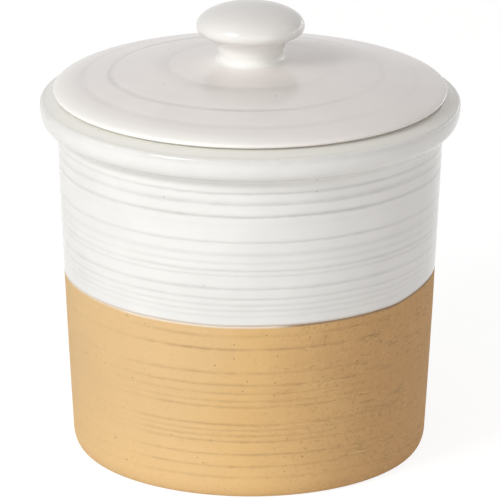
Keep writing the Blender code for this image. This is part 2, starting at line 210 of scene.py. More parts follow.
def buildThrowingMarks(name, marks, acrossLid, seed):
    inputs = [
        ("Geometry", "NodeSocketGeometry", None),
        ("Mark Depth", "NodeSocketFloat", 0.4 * mm),
        ("Wander", "NodeSocketFloat", 0.3 * mm),
        ("Unevenness", "NodeSocketFloat", 0.5),
        ("Line Depth", "NodeSocketFloat", 0.05 * mm),
        ("Line Spacing", "NodeSocketFloat", 1.2 * mm),
        ("Start", "NodeSocketFloat", 0.0),
        ("End", "NodeSocketFloat", 1.0),
        ("Least Radius", "NodeSocketFloat", 0.0),
        ("Fading", "NodeSocketFloat", 0.0),  # how far the marks fade on two opposite sides
        ("Right Fading", "NodeSocketFloat", 0.0),  # and on the right alone
        ("Waver Height", "NodeSocketFloat", 0.0),  # the height at which the surface slides up and down
        ("Waver", "NodeSocketFloat", 0.0),
        ("Right Rise", "NodeSocketFloat", 0.0),
        ("Material", "NodeSocketMaterial", None),
    ]
    tree, given, result = newGroup(name, "GeometryNodeTree", inputs, [("Geometry", "NodeSocketGeometry")])
    tree.is_modifier = True
    position = put(tree, "GeometryNodeInputPosition").outputs[0]
    normal = put(tree, "GeometryNodeInputNormal").outputs[0]
    x, y, z = put(tree, "ShaderNodeSeparateXYZ", {0: position}).outputs
    flat = combined(tree, x, y, 0.0)
    radius = put(tree, "ShaderNodeVectorMath", {0: flat}, operation="LENGTH").outputs["Value"]
    outward = put(tree, "ShaderNodeVectorMath", {0: flat}, operation="NORMALIZE").outputs[0]
    along = radius if acrossLid else calc(tree, "MULTIPLY", z, -1.0)
    facing = (0.0, 0.0, 1.0) if acrossLid else outward
    facing = put(tree, "ShaderNodeVectorMath", {0: normal, 1: facing}, operation="DOT_PRODUCT")
    shown = calc(tree, "GREATER_THAN", radius, given["Least Radius"])
    shown = calc(tree, "MULTIPLY", shown, ranged(tree, facing.outputs["Value"], 0.1, 0.25))
    x, y, flatZ = put(tree, "ShaderNodeSeparateXYZ", {0: outward}).outputs
    frontOrBack = calc(tree, "SUBTRACT", calc(tree, "MULTIPLY", y, y), calc(tree, "MULTIPLY", x, x))
    diagonal = calc(tree, "MULTIPLY", calc(tree, "MULTIPLY", x, y), -2 * math.sin(2 * fadeTurn))
    side = calc(tree, "MULTIPLY_ADD", frontOrBack, math.cos(2 * fadeTurn), diagonal)
    faded = calc(tree, "MULTIPLY", ranged(tree, side, -0.25, 0.5, 1.0, 0.0), given["Fading"])
    shown = calc(tree, "MULTIPLY", shown, calc(tree, "SUBTRACT", 1.0, faded))
    faded = calc(tree, "MULTIPLY", ranged(tree, x, 0.3, 0.85), given["Right Fading"])
    shown = calc(tree, "MULTIPLY", shown, calc(tree, "SUBTRACT", 1.0, faded))

    cut = 0.0
    line = 0.0
    for index, (place, depthShare, run, ledge, *drift) in enumerate(marks):
        inputs = {
            "Drift": drift[0] if drift else 0.0,
            "Along": along,
            "Round": outward,
            "Place": place if acrossLid else -place,
            "Depth": calc(tree, "MULTIPLY", given["Mark Depth"], depthShare),
            "Run": run,
            "Ledge": ledge,
            "Wander": given["Wander"],
            "Unevenness": given["Unevenness"],
            "Seed": seed + 3.1 * index,
        }
        mark = tree.nodes.new("GeometryNodeGroup")
        mark.node_tree = oneMark
        for key, value in inputs.items():
            if isinstance(value, bpy.types.NodeSocket):
                tree.links.new(value, mark.inputs[key])
            else:
                mark.inputs[key].default_value = value
        cut = calc(tree, "MAXIMUM", cut, mark.outputs["Cut"])
        line = calc(tree, "MAXIMUM", line, calc(tree, "MULTIPLY", mark.outputs["Line"], depthShare))

    lines = combined(tree, x, y, calc(tree, "DIVIDE", along, given["Line Spacing"]))
    lines = calc(tree, "MULTIPLY", noise(tree, lines, 1.0, 3.0, 0.6), given["Line Depth"])
    opening = ranged(tree, along, given["Start"], calc(tree, "ADD", given["Start"], 1.5 * mm))
    closing = ranged(tree, along, calc(tree, "SUBTRACT", given["End"], 0.8 * mm), given["End"], 1.0, 0.0)
    lines = calc(tree, "MULTIPLY", lines, calc(tree, "MULTIPLY", opening, closing))

    around = noise(tree, combined(tree, x, y, 7.3), 1.6, 3.0)
    lift = calc(tree, "MULTIPLY", ranged(tree, around, 0.25, 0.75, -1.0, 1.0, "LINEAR"), given["Waver"])
    lift = calc(tree, "MULTIPLY_ADD", ranged(tree, x, 0.74, 0.98), given["Right Rise"], lift)
    away = calc(tree, "ABSOLUTE", calc(tree, "SUBTRACT", z, given["Waver Height"]))
    lift = calc(tree, "MULTIPLY", lift, ranged(tree, away, 1 * mm, 14 * mm, 1.0, 0.0))

    depth = calc(tree, "MULTIPLY", calc(tree, "ADD", cut, lines), shown)
    offset = put(tree, "ShaderNodeVectorMath", {0: normal}, operation="SCALE")
    tree.links.new(calc(tree, "MULTIPLY", depth, -1.0), offset.inputs["Scale"])
    inputs = {0: offset.outputs[0], 1: combined(tree, 0.0, 0.0, lift)}
    offset = put(tree, "ShaderNodeVectorMath", inputs)
    shape = given["Geometry"]
    for label, value in (("throwLine", calc(tree, "MULTIPLY", line, shown)), ("lineLift", lift)):
        inputs = {"Geometry": shape, "Name": label, "Value": value}
        shape = put(tree, "GeometryNodeStoreNamedAttribute", inputs, data_type="FLOAT", domain="POINT").outputs[0]
    inputs = {"Geometry": shape, "Offset": offset.outputs[0]}
    moved = put(tree, "GeometryNodeSetPosition", inputs).outputs[0]
    real = put(tree, "GeometryNodeRealizeInstances", {0: moved}).outputs[0]
    inputs = {"Geometry": real, "Material": given["Material"]}
    tree.links.new(put(tree, "GeometryNodeSetMaterial", inputs).outputs[0], result["Geometry"])
    return tree


def turnOutline(name, outline, columns, closed=False):  # an outline turned round the Z axis
    vertices = [(radius, 0, height) for radius, height in outline]
    edges = [(index, index + 1) for index in range(len(vertices) - 1)]
    if closed:
        edges.append((len(vertices) - 1, 0))
    mesh = bpy.data.meshes.new(name)
    mesh.from_pydata(vertices, edges, [])
    item = bpy.data.objects.new(name, mesh)
    bpy.context.scene.collection.objects.link(item)
    screw = item.modifiers.new("turning", "SCREW")
    screw.axis = "Z"
    screw.angle = 2 * math.pi
    screw.steps = columns
    screw.render_steps = columns
    screw.use_merge_vertices = True
    screw.merge_threshold = 0.01 * mm
    screw.use_smooth_shade = True
    return item


def markPiece(item, tree, values):  # adds the marks' modifier and sets its inputs
    modifier = item.modifiers.new("throwing marks", "NODES")
    modifier.node_group = tree
    for socket in tree.interface.items_tree:
        if socket.in_out == "INPUT" and socket.name in values:
            modifier[socket.identifier] = values[socket.name]


def finishPiece(item, material, sharpAngle):  # the evaluated shape becomes the piece's own mesh
    shape = item.evaluated_get(bpy.context.evaluated_depsgraph_get())
    mesh = bpy.data.meshes.new_from_object(shape)
    item.modifiers.clear()
    item.data = mesh
    mesh.name = item.name
    mesh.materials.clear()
    mesh.materials.append(material)
    mesh.shade_smooth()
    mesh.set_sharp_from_angle(angle=math.radians(sharpAngle))
    print("made", item.name, "with", len(mesh.polygons), "faces")
    return item


# Effects that more than one finish uses

def buildIronSpecks():  # small dark grains that melt out of the clay
    inputs = [
        ("Vector", "NodeSocketVector", None),
        ("Spacing", "NodeSocketFloat", 8 * mm),
        ("Size", "NodeSocketFloat", 0.3 * mm),
        ("Share", "NodeSocketFloat", 0.5),
        ("Seed", "NodeSocketFloat", 0.0),
    ]
    tree, given, result = newGroup("ironSpecks", "ShaderNodeTree", inputs, [("Mask", "NodeSocketFloat")])
    shift = combined(tree, given["Seed"], 0.0, 0.0)
    vector = put(tree, "ShaderNodeVectorMath", {0: given["Vector"], 1: shift}).outputs[0]
    scale = calc(tree, "DIVIDE", 1.0, given["Spacing"])
    cells = put(tree, "ShaderNodeTexVoronoi", {"Vector": vector, "Scale": scale})
    red, green, blue = put(tree, "ShaderNodeSeparateColor", {0: cells.outputs["Color"]}).outputs
    ragged = noise(tree, vector, calc(tree, "DIVIDE", 1.0, given["Size"]), 2.0)
    size = calc(tree, "MULTIPLY", given["Size"], scale)
    size = calc(tree, "MULTIPLY", size, ranged(tree, green, 0.0, 1.0, 0.35, 1.0, "LINEAR"))
    size = calc(tree, "MULTIPLY", size, ranged(tree, ragged, 0.2, 0.8, 0.6, 1.5, "LINEAR"))
    inner = calc(tree, "MULTIPLY", size, 0.55)
    spot = ranged(tree, cells.outputs["Distance"], inner, size, 1.0, 0.0)
    kept = calc(tree, "LESS_THAN", red, given["Share"])
    tree.links.new(calc(tree, "MULTIPLY", spot, kept), result["Mask"])
    return tree


def buildFiredMottle():  # soft patches from the kiln, from 0 to 1
    inputs = [
        ("Vector", "NodeSocketVector", None),
        ("Patch Size", "NodeSocketFloat", 20 * mm),
        ("Contrast", "NodeSocketFloat", 0.5),
    ]
    tree, given, result = newGroup("firedMottle", "ShaderNodeTree", inputs, [("Tone", "NodeSocketFloat")])
    scale = calc(tree, "DIVIDE", 1.0, given["Patch Size"])
    patches = noise(tree, given["Vector"], scale, 3.0, 0.55)
    spread = calc(tree, "MULTIPLY", given["Contrast"], 0.5)
    low = calc(tree, "SUBTRACT", 0.5, spread)
    high = calc(tree, "ADD", 0.5, spread)
    tree.links.new(ranged(tree, patches, 0.3, 0.7, low, high, "LINEAR"), result["Tone"])
    return tree


def buildClayGrain():  # grog and fine pores: a height and the tone that goes with it
    inputs = [
        ("Vector", "NodeSocketVector", None),
        ("Grain Size", "NodeSocketFloat", 0.5 * mm),
    ]
    outputs = [("Height", "NodeSocketFloat"), ("Tone", "NodeSocketFloat")]
    tree, given, result = newGroup("clayGrain", "ShaderNodeTree", inputs, outputs)
    scale = calc(tree, "DIVIDE", 1.0, given["Grain Size"])
    fine = noise(tree, given["Vector"], scale, 3.0, 0.65)
    coarse = noise(tree, given["Vector"], calc(tree, "MULTIPLY", scale, 0.23), 2.0)
    pores = put(tree, "ShaderNodeTexVoronoi", {"Vector": given["Vector"], "Scale": calc(tree, "MULTIPLY", scale, 0.4)})
    pores = ranged(tree, pores.outputs["Distance"], 0.1, 0.32)
    height = calc(tree, "ADD", calc(tree, "MULTIPLY", fine, 0.5), calc(tree, "MULTIPLY", coarse, 0.5))
    tree.links.new(calc(tree, "MULTIPLY", height, pores), result["Height"])
    tree.links.new(ranged(tree, fine, 0.3, 0.7, way="LINEAR"), result["Tone"])
    return tree


def buildTurningLines():  # streaks that run round the piece, from 0 to 1
    inputs = [
        ("Vector", "NodeSocketVector", None),
        ("Spacing", "NodeSocketFloat", 1 * mm),
        ("Across", "NodeSocketFloat", 0.0),  # 0 on walls, 1 on the lid
        ("Streak Length", "NodeSocketFloat", 40 * mm),
    ]
    tree, given, result = newGroup("turningLines", "ShaderNodeTree", inputs, [("Line", "NodeSocketFloat")])
    x, y, z = put(tree, "ShaderNodeSeparateXYZ", {0: given["Vector"]}).outputs
    flat = combined(tree, x, y, 0.0)
    radius = put(tree, "ShaderNodeVectorMath", {0: flat}, operation="LENGTH").outputs["Value"]
    along = put(tree, "ShaderNodeMix", {"Factor": given["Across"], "A": z, "B": radius}, data_type="FLOAT")
    along = calc(tree, "DIVIDE", along.outputs[0], given["Spacing"])
    x = calc(tree, "DIVIDE", x, given["Streak Length"])
    y = calc(tree, "DIVIDE", y, given["Streak Length"])
    streaks = noise(tree, combined(tree, x, y, along), 1.0, 3.0, 0.6)
    tree.links.new(ranged(tree, streaks, 0.3, 0.7, way="LINEAR"), result["Line"])
    return tree


oneMark = buildOneMark()
ironSpecks = buildIronSpecks()
firedMottle = buildFiredMottle()
clayGrain = buildClayGrain()
turningLines = buildTurningLines()


def useGroup(tree, group, inputs):
    node = tree.nodes.new("ShaderNodeGroup")
    node.node_tree = group
    for key, value in inputs.items():
        if isinstance(value, bpy.types.NodeSocket):
            tree.links.new(value, node.inputs[key])
        else:
            node.inputs[key].default_value = value
    return node.outputs


def blendColour(tree, share, first, second, way="MIX"):
    colours = []
    for colour in (first, second):
        colours.append(colour if isinstance(colour, bpy.types.NodeSocket) else (*colour, 1.0))
    node = put(tree, "ShaderNodeMix", {0: share}, data_type="RGBA", blend_type=way)
    for key, colour in zip((6, 7), colours):
        if isinstance(colour, bpy.types.NodeSocket):
            tree.links.new(colour, node.inputs[key])
        else:
            node.inputs[key].default_value = colour
    return node.outputs[2]


def newMaterial(name):
    material = bpy.data.materials.new(name)
    material.use_nodes = True
    tree = material.node_tree
    shader = tree.nodes["Principled BSDF"]
    shader.inputs["Metallic"].default_value = 0.0
    spot = put(tree, "ShaderNodeTexCoord").outputs["Object"]
    x, y, z = put(tree, "ShaderNodeSeparateXYZ", {0: spot}).outputs
    radius = put(tree, "ShaderNodeVectorMath", {0: combined(tree, x, y, 0.0)}, operation="LENGTH")
    return material, tree, shader, spot, z, radius.outputs["Value"]


def grainMask(tree, spot, grains):  # single grains, each as (angle, radius, height, size)
    mask = 0.0
    for angle, radius, height, size in grains:
        x = radius * math.sin(math.radians(angle))
        y = -radius * math.cos(math.radians(angle))
        away = put(tree, "ShaderNodeVectorMath", {0: spot, 1: (x, y, height)}, operation="DISTANCE")
        grain = ranged(tree, away.outputs["Value"], size * 0.5, size, 1.0, 0.0)
        mask = calc(tree, "MAXIMUM", mask, grain)
    return mask


def addBump(tree, shader, height, distance, strength=1.0):
    inputs = {"Height": height, "Distance": distance, "Strength": strength}
    bump = put(tree, "ShaderNodeBump", inputs)
    tree.links.new(bump.outputs[0], shader.inputs["Normal"])


# White glaze, on the pot, the lid and the knob

glaze = {
    "white": (0.846, 0.828, 0.80),
    "lidWhite": (0.866, 0.813, 0.778),
    "knobWhite": (0.816, 0.79, 0.757),
    "thin": 0.925,  # how light the thinner patches are beside the rest
    # painted shade: the marks' lines are darkened to stand for the shade in them, partly glaze pooled there
    "pool": (0.42, 0.41, 0.39),  # where it gathers in the marks
    "speck": (0.10, 0.07, 0.05),
    "speckSpacing": 7.5 * mm,
    "speckSize": 0.42 * mm,
    "speckShare": 0.28,
    "roughness": 0.13,
    "peelSize": 2.5 * mm,
    "peelDepth": 0.012 * mm,
}


def buildGlaze(name, white, across, seed, poolAndShadeShare, grains=(), tintAndPaintedLight=None):
    material, tree, shader, spot, z, radius = newMaterial(name)
    tone = useGroup(tree, firedMottle, {"Vector": spot, "Patch Size": 26 * mm, "Contrast": 0.8})["Tone"]
    inputs = {"Vector": spot, "Spacing": 2.2 * mm, "Across": across, "Streak Length": 60 * mm}
    streak = useGroup(tree, turningLines, inputs)["Line"]
    line = put(tree, "ShaderNodeAttribute", attribute_name="throwLine").outputs["Fac"]
    shade = tuple(channel * glaze["thin"] for channel in white)
    colour = blendColour(tree, tone, shade, white)
    colour = blendColour(tree, calc(tree, "MULTIPLY", streak, 0.12), colour, shade)
    ragged = ranged(tree, noise(tree, spot, 1.0 / (6 * mm), 3.0), 0.3, 0.7, 0.8, 1.2, "LINEAR")
    # painted shade in the marks' lines, partly real pooling of the glaze
    pooledAndShaded = calc(tree, "MULTIPLY", calc(tree, "MULTIPLY", line, ragged), poolAndShadeShare, clamp=True)
    colour = blendColour(tree, pooledAndShaded, colour, glaze["pool"])
    inputs = {
        "Vector": spot,
        "Spacing": glaze["speckSpacing"],
        "Size": glaze["speckSize"],
        "Share": glaze["speckShare"],
        "Seed": seed,
    }
    speck = useGroup(tree, ironSpecks, inputs)["Mask"]
    speck = calc(tree, "MAXIMUM", speck, grainMask(tree, spot, grains))
    colour = blendColour(tree, calc(tree, "MULTIPLY", speck, 0.8), colour, glaze["speck"])
    rough = ranged(tree, tone, 0.0, 1.0, glaze["roughness"] + 0.06, glaze["roughness"], "LINEAR")
    rough = calc(tree, "MULTIPLY_ADD", pooledAndShaded, 0.15, rough)
    peel = noise(tree, spot, 1.0 / glaze["peelSize"], 2.0)
    # tints of the finish, and painted light and shade on edges, rim and neck
    if tintAndPaintedLight:
        colour, rough = tintAndPaintedLight(tree, spot, z, radius, colour, rough)
    tree.links.new(colour, shader.inputs["Base Color"])
    tree.links.new(rough, shader.inputs["Roughness"])
    addBump(tree, shader, peel, glaze["peelDepth"])
    return material


# Bare clay of the pot

clay = {
    "light": (0.776, 0.507, 0.216),
    "dark": (0.68, 0.42, 0.17),
    # painted sheen: the clay is paler and less saturated on the lit left
    "rosy": (0.73, 0.507, 0.27),  # towards this on the left
    "rosyShare": 0.6,
    # painted shade: the clay darkens towards the right, the side turned away from the lamps
    "blush": (0.43, 0.20, 0.085),  # towards this on the side that fired darker
    "blushShare": 0.5,
    "low": (0.90, 0.60, 0.265),  # towards this near the foot
    "lowShare": 0.28,
    # painted shade: the groove colour darkens the marks' lines and the sunk spots for the shade that falls in them
    "groove": (0.36, 0.20, 0.085),
    "grooveShare": 0.5,
    # the raised spots and ripples are painted lighter and the sunk spots darker: painted light and shade over their
    # bumps
    "lumpSize": 1.5 * mm,  # small raised and sunk spots, most of them on the darker side
    "lumpShare": 0.42,
    "rippleDepth": 0.22 * mm,  # ragged ripples on the darker side
    "rippleShare": 0.6,
    # under the glaze line the clay is pale on the lit left, partly glaze soaked into it and partly painted light; on
    # the right it turns to a painted shadow under the glaze's edge
    "pale": (0.80, 0.665, 0.52),  # the fringe under the glaze line
    "bareLine": (0.34, 0.22, 0.12),  # and its colour on the darker side
    "fringeStart": 1.05 * mm,  # below the glaze line
    "fringeEnd": 0.4 * mm,
    "speck": (0.12, 0.05, 0.02),
    "speckSpacing": 4 * mm,
    "speckSize": 0.42 * mm,
    "speckShare": 0.5,
    # pits are dark spots of colour only: painted shade in small pits
    "pitSpacing": 2 * mm,
    "pitSize": 0.2 * mm,
    "pitShare": 0.4,
    "grainSize": 0.4 * mm,
    "grainDepth": 0.09 * mm,
    "roughness": 0.72,
}


def buildClay(name):
    material, tree, shader, spot, z, radius = newMaterial(name)
    tone = useGroup(tree, firedMottle, {"Vector": spot, "Patch Size": 14 * mm, "Contrast": 1.0})["Tone"]
    grain = useGroup(tree, clayGrain, {"Vector": spot, "Grain Size": clay["grainSize"]})
    inputs = {"Vector": spot, "Spacing": 1.1 * mm, "Across": 0.0, "Streak Length": 35 * mm}
    streak = useGroup(tree, turningLines, inputs)["Line"]
    line = put(tree, "ShaderNodeAttribute", attribute_name="throwLine").outputs["Fac"]
    share = calc(tree, "MULTIPLY_ADD", tone, 0.4, calc(tree, "MULTIPLY", streak, 0.2))
    share = calc(tree, "MULTIPLY_ADD", grain["Tone"], 0.4, share)
    colour = blendColour(tree, share, clay["dark"], clay["light"])
    x, y, height = put(tree, "ShaderNodeSeparateXYZ", {0: spot}).outputs
    slow = noise(tree, spot, 1.0 / (30 * mm), 2.0)
    across = calc(tree, "MULTIPLY_ADD", calc(tree, "SUBTRACT", slow, 0.5), 40 * mm, x)
    # painted sheen on the lit left side
    rosy = ranged(tree, across, -38 * mm, 4 * mm, clay["rosyShare"], 0.0)
    colour = blendColour(tree, rosy, colour, clay["rosy"])
    # painted shade towards the right
    blush = ranged(tree, across, -5 * mm, 60 * mm, 0.0, clay["blushShare"])
    colour = blendColour(tree, blush, colour, clay["blush"])
    low = ranged(tree, height, 10 * mm, 45 * mm, clay["lowShare"], 0.0)
    low = calc(tree, "MULTIPLY", low, ranged(tree, across, 5 * mm, 50 * mm, 1.0, 0.15))
    colour = blendColour(tree, low, colour, clay["low"])

    rougher = ranged(tree, across, -5 * mm, 40 * mm, 0.3, 1.0)
    lumps = noise(tree, spot, 1.0 / clay["lumpSize"], 3.0, 0.6)
    raised = calc(tree, "MULTIPLY", ranged(tree, lumps, 0.56, 0.72, 0.0, clay["lumpShare"]), rougher)
    sunk = calc(tree, "MULTIPLY", ranged(tree, lumps, 0.28, 0.44, clay["lumpShare"], 0.0), rougher)
    flowing = combined(
        tree,
        calc(tree, "DIVIDE", x, 16 * mm),
        calc(tree, "DIVIDE", y, 16 * mm),
        calc(tree, "DIVIDE", height, 1.5 * mm),
    )
    patches = ranged(tree, noise(tree, spot, 1.0 / (14 * mm), 2.0), 0.42, 0.56)
    ripple = ranged(tree, noise(tree, flowing, 1.0, 3.0, 0.6), 0.54, 0.66)
    ripple = calc(tree, "MULTIPLY", ripple, ranged(tree, across, 20 * mm, 50 * mm))
    ripple = calc(tree, "MULTIPLY", ripple, ranged(tree, y, -25 * mm, 5 * mm, 1.0, 0.25))
    ripple = calc(tree, "MULTIPLY", ripple, patches)
    raised = calc(tree, "MAXIMUM", raised, calc(tree, "MULTIPLY", ripple, clay["rippleShare"]))
    # painted light on raised spots and ripples, painted shade in sunk spots
    colour = blendColour(tree, raised, colour, clay["light"])
    colour = blendColour(tree, sunk, colour, clay["groove"])
    ragged = ranged(tree, noise(tree, spot, 1.0 / (4 * mm), 3.0), 0.3, 0.7, 0.6, 1.4, "LINEAR")
    # painted shade along the marks' lines, broken up on the rougher side
    grooveShading = calc(tree, "MULTIPLY", calc(tree, "MULTIPLY", line, ragged), clay["grooveShare"], clamp=True)
    broken = calc(tree, "MULTIPLY", calc(tree, "MULTIPLY", patches, rougher), 0.6)
    grooveShading = calc(tree, "MULTIPLY", grooveShading, calc(tree, "SUBTRACT", 1.0, broken))
    colour = blendColour(tree, grooveShading, colour, clay["groove"])
    inputs = {
        "Vector": spot,
        "Spacing": clay["speckSpacing"],
        "Size": clay["speckSize"],
        "Share": clay["speckShare"],
        "Seed": 0.37,
    }
    speck = useGroup(tree, ironSpecks, inputs)["Mask"]
    # painted shade in small pits
    inputs = {
        "Vector": spot,
        "Spacing": clay["pitSpacing"],
        "Size": clay["pitSize"],
        "Share": clay["pitShare"],
        "Seed": 0.73,
    }
    pit = useGroup(tree, ironSpecks, inputs)["Mask"]
    grains = [(angle, outerWall(height * mm)[0], height * mm, 0.35 * mm) for angle, height in clayGrains]
    speck = calc(tree, "MAXIMUM", speck, grainMask(tree, spot, grains))
    speck = calc(tree, "MAXIMUM", calc(tree, "MULTIPLY", speck, 0.7), calc(tree, "MULTIPLY", pit, 0.45))
    colour = blendColour(tree, speck, colour, clay["speck"])
    lift = put(tree, "ShaderNodeAttribute", attribute_name="lineLift").outputs["Fac"]
    below = calc(tree, "SUBTRACT", z, lift)
    opening = ranged(tree, below, glazeLine - clay["fringeStart"], glazeLine - clay["fringeEnd"])
    opening = calc(tree, "MULTIPLY", opening, ranged(tree, across, -62 * mm, -45 * mm, 0.4, 1.0))
    # painted light on the left, painted shadow under the glaze's edge on the right
    side = ranged(tree, across, 6 * mm, 22 * mm)
    colour = blendColour(tree, opening, colour, blendColour(tree, side, clay["pale"], clay["bareLine"]))
    tree.links.new(colour, shader.inputs["Base Color"])
    rough = ranged(tree, grain["Tone"], 0.0, 1.0, clay["roughness"] + 0.1, clay["roughness"], "LINEAR")
    tree.links.new(rough, shader.inputs["Roughness"])
    bumps = calc(tree, "MULTIPLY_ADD", ripple, clay["rippleDepth"] / clay["grainDepth"], grain["Height"])
    bumps = calc(tree, "MULTIPLY_ADD", calc(tree, "SUBTRACT", raised, sunk), 3.0, bumps)
    addBump(tree, shader, bumps, clay["grainDepth"])
    return material


# The pot. Its outline is shared by the clay and by the glaze that covers it.

pot = {
    "baseRadius": 71.3 * mm,  # where the wall meets the rounded foot
    "neckRadius": 77.0 * mm,
    "swell": 0.3 * mm,
    "wall": 7.0 * mm,
    "neckWall": 7.5 * mm,
    "footRoundHeight": 7.5 * mm,
    "footRoundWidth": 3.6 * mm,
    "footRing": 8.0 * mm,
    "footRecess": 1.5 * mm,
    "floor": 8.0 * mm,
    "floorCorner": 9.0 * mm,
    "lipDrop": 3.2 * mm,
    "crownSetback": 4.0 * mm,
    "rimDrop": 3.9 * mm,
    "creaseSetback": 1.6 * mm,
    "creaseRise": 1.55 * mm,
    "flare": 13.1 * mm,
    "glazeLine": 73.4 * mm,
    "glazeWaver": 0.25 * mm,  # the glaze line isn't quite level
    "glazeRise": 2.0 * mm,  # and climbs on the right
    "glazeThickness": 0.8 * mm,
    "clearance": 0.3 * mm,
    "rowSpacing": 0.22 * mm,  # on the marked walls
    "plainSpacing": 3.0 * mm,
    "columns": 240,
}
neckHeight = jarHeight - pot["rimDrop"] - pot["flare"]
mouthRadius = pot["neckRadius"] - pot["neckWall"]
crownRadius = mouthRadius + pot["crownSetback"]
glazeLine = pot["glazeLine"]


def wallShare(height):
    return (height - pot["footRoundHeight"]) / (neckHeight - pot["footRoundHeight"])


def outerWall(height):
    share = wallShare(height)
    swell = 4 * pot["swell"] * share * (1 - share)
    return (pot["baseRadius"] + (pot["neckRadius"] - pot["baseRadius"]) * share + swell, height)


def innerWall(height):
    share = wallShare(height)
    swell = 4 * pot["swell"] * share * (1 - share)
    foot = pot["baseRadius"] - pot["wall"]
    return (foot + (mouthRadius - foot) * share + swell, height)


def potSkin(steps, spacing):  # all that the glaze covers, down to the neck
    cornerHeight = pot["floor"] + pot["floorCorner"]
    cornerRadius = innerWall(cornerHeight)[0]
    centre = (cornerRadius - pot["floorCorner"], cornerHeight)
    corner = arcRun(centre, pot["floorCorner"], pot["floorCorner"], 0, steps)
    corner.reverse()
    floor = straightRun((0, pot["floor"]), corner[0], 2 * spacing)
    inside = formulaRun(innerWall, cornerHeight, neckHeight, spacing)
    lipStart = jarHeight - pot["lipDrop"]
    mouth = straightRun((mouthRadius, neckHeight), (mouthRadius, lipStart), spacing)
    lip = curveRun(
        (mouthRadius, lipStart),
        (mouthRadius, lipStart + pot["lipDrop"] * 0.55),
        (crownRadius - pot["crownSetback"] * 0.6, jarHeight),
        (crownRadius, jarHeight),
        steps,
    )
    widest = jarHeight - pot["rimDrop"]
    crease = (rimRadius - pot["creaseSetback"], widest + pot["creaseRise"])
    topWidth = crease[0] - crownRadius
    topFall = jarHeight - crease[1]
    top = curveRun(
        (crownRadius, jarHeight),
        (crownRadius + topWidth * 0.5, jarHeight),
        (crease[0] - topWidth * 0.35, crease[1] + topFall * 0.48),
        crease,
        steps,
    )
    roll = curveRun(
        crease,
        (crease[0] + pot["creaseSetback"] * 0.5, crease[1] - pot["creaseRise"] * 0.06),
        (rimRadius, widest + pot["creaseRise"] * 0.57),
        (rimRadius, widest),
        steps,
    )
    overhang = rimRadius - pot["neckRadius"]
    turnPoint = (pot["neckRadius"] + overhang * 0.45, neckHeight + pot["flare"] * 0.33)
    under = curveRun(
        (rimRadius, widest),
        (rimRadius, widest - pot["flare"] * 0.6),
        (pot["neckRadius"] + overhang * 0.63, neckHeight + pot["flare"] * 0.42),
        turnPoint,
        steps,
    )
    hollow = curveRun(
        turnPoint,
        (pot["neckRadius"] + overhang * 0.2, neckHeight + pot["flare"] * 0.2),
        (pot["neckRadius"], neckHeight + pot["flare"] * 0.17),
        (pot["neckRadius"], neckHeight),
        steps,
    )
    return joined(floor, corner, inside, mouth, lip, top, roll, under, hollow)


def coatBack():  # the plain back of the glaze, before it is set back
    wall = formulaRun(outerWall, neckHeight, glazeLine, 4 * pot["plainSpacing"])
    return joined(potSkin(5, 4 * pot["plainSpacing"]), wall)


# Marks on the white wall: height, share of the full depth, run above it and ledge below it
glazeMarks = [
    (144.1 * mm, 0.65, 1.5 * mm, 2.8 * mm),  # the crease in the rim
    (128.3 * mm, 0.8, 1.8 * mm, 0.9 * mm),
    (123.8 * mm, 0.75, 3.6 * mm, 1.0 * mm),
    (118.7 * mm, 1.0, 2.2 * mm, 0.9 * mm),
    (115.1 * mm, 0.08, 3.0 * mm, 0.8 * mm),
    (108.1 * mm, 0.65, 1.7 * mm, 0.9 * mm),
    (103.0 * mm, 0.42, 2.8 * mm, 1.5 * mm),
    (99.5 * mm, 0.32, 2.2 * mm, 1.0 * mm),
    (96.3 * mm, 0.6, 1.8 * mm, 0.9 * mm),
    (94.2 * mm, 0.5, 1.4 * mm, 0.8 * mm),
    (88.8 * mm, 0.75, 2.2 * mm, 0.9 * mm),
    (86.3 * mm, 0.08, 2.0 * mm, 0.7 * mm),
    (84.7 * mm, 0.6, 1.6 * mm, 0.9 * mm),
    (82.0 * mm, 0.45, 1.6 * mm, 0.9 * mm),
    (79.7 * mm, 0.45, 1.5 * mm, 0.9 * mm),
    (77.4 * mm, 0.3, 1.5 * mm, 0.9 * mm),
]
potGlazeSizes = {
    "markDepth": 0.24 * mm,
    "wander": 0.22 * mm,
    "unevenness": 0.2,
    "lineDepth": 0.03 * mm,
    "lineSpacing": 1.3 * mm,
    "edgeRound": 0.3 * mm,  # the glaze's rounded lower edge
    "edgeTint": (0.54, 0.455, 0.38),
    # painted shade: the rim's top under the lid's edge is darker, partly yellowish thin glaze and partly the lid's
    # shadow
    "rimTint": (0.775, 0.757, 0.703),
    "fading": 0.4,
    "seed": 4.0,
}
glazeGrains = [(19.7, 76.9 * mm, 128.2 * mm, 0.35 * mm), (7.4, 83.1 * mm, 144.3 * mm, 0.4 * mm)]


# also paints the shade of the lid's edge onto the rim's top
def thinEdgeAndRimShade(tree, spot, z, radius, colour, rough):  # the clay tints the glaze at edge and rim
    lift = put(tree, "ShaderNodeAttribute", attribute_name="lineLift").outputs["Fac"]
    above = calc(tree, "SUBTRACT", z, lift)
    edge = ranged(tree, above, glazeLine + 0.1 * mm, glazeLine + 1.3 * mm, 1.0, 0.0)
    around = ranged(tree, noise(tree, spot, 1.0 / (50 * mm), 2.0), 0.35, 0.65, 0.65, 1.0)
    edge = calc(tree, "MULTIPLY", edge, around)
    midWall = outerWall(glazeLine)[0] - pot["wall"] / 2
    edge = calc(tree, "MULTIPLY", edge, calc(tree, "GREATER_THAN", radius, midWall))  # not inside the jar
    colour = blendColour(tree, edge, colour, potGlazeSizes["edgeTint"])
    # painted shade on the rim's top, under the lid's edge, with a real yellowish tint of thin glaze
    rim = ranged(tree, z, jarHeight - 3.4 * mm, jarHeight - 2.2 * mm)
    return blendColour(tree, rim, colour, potGlazeSizes["rimTint"]), rough


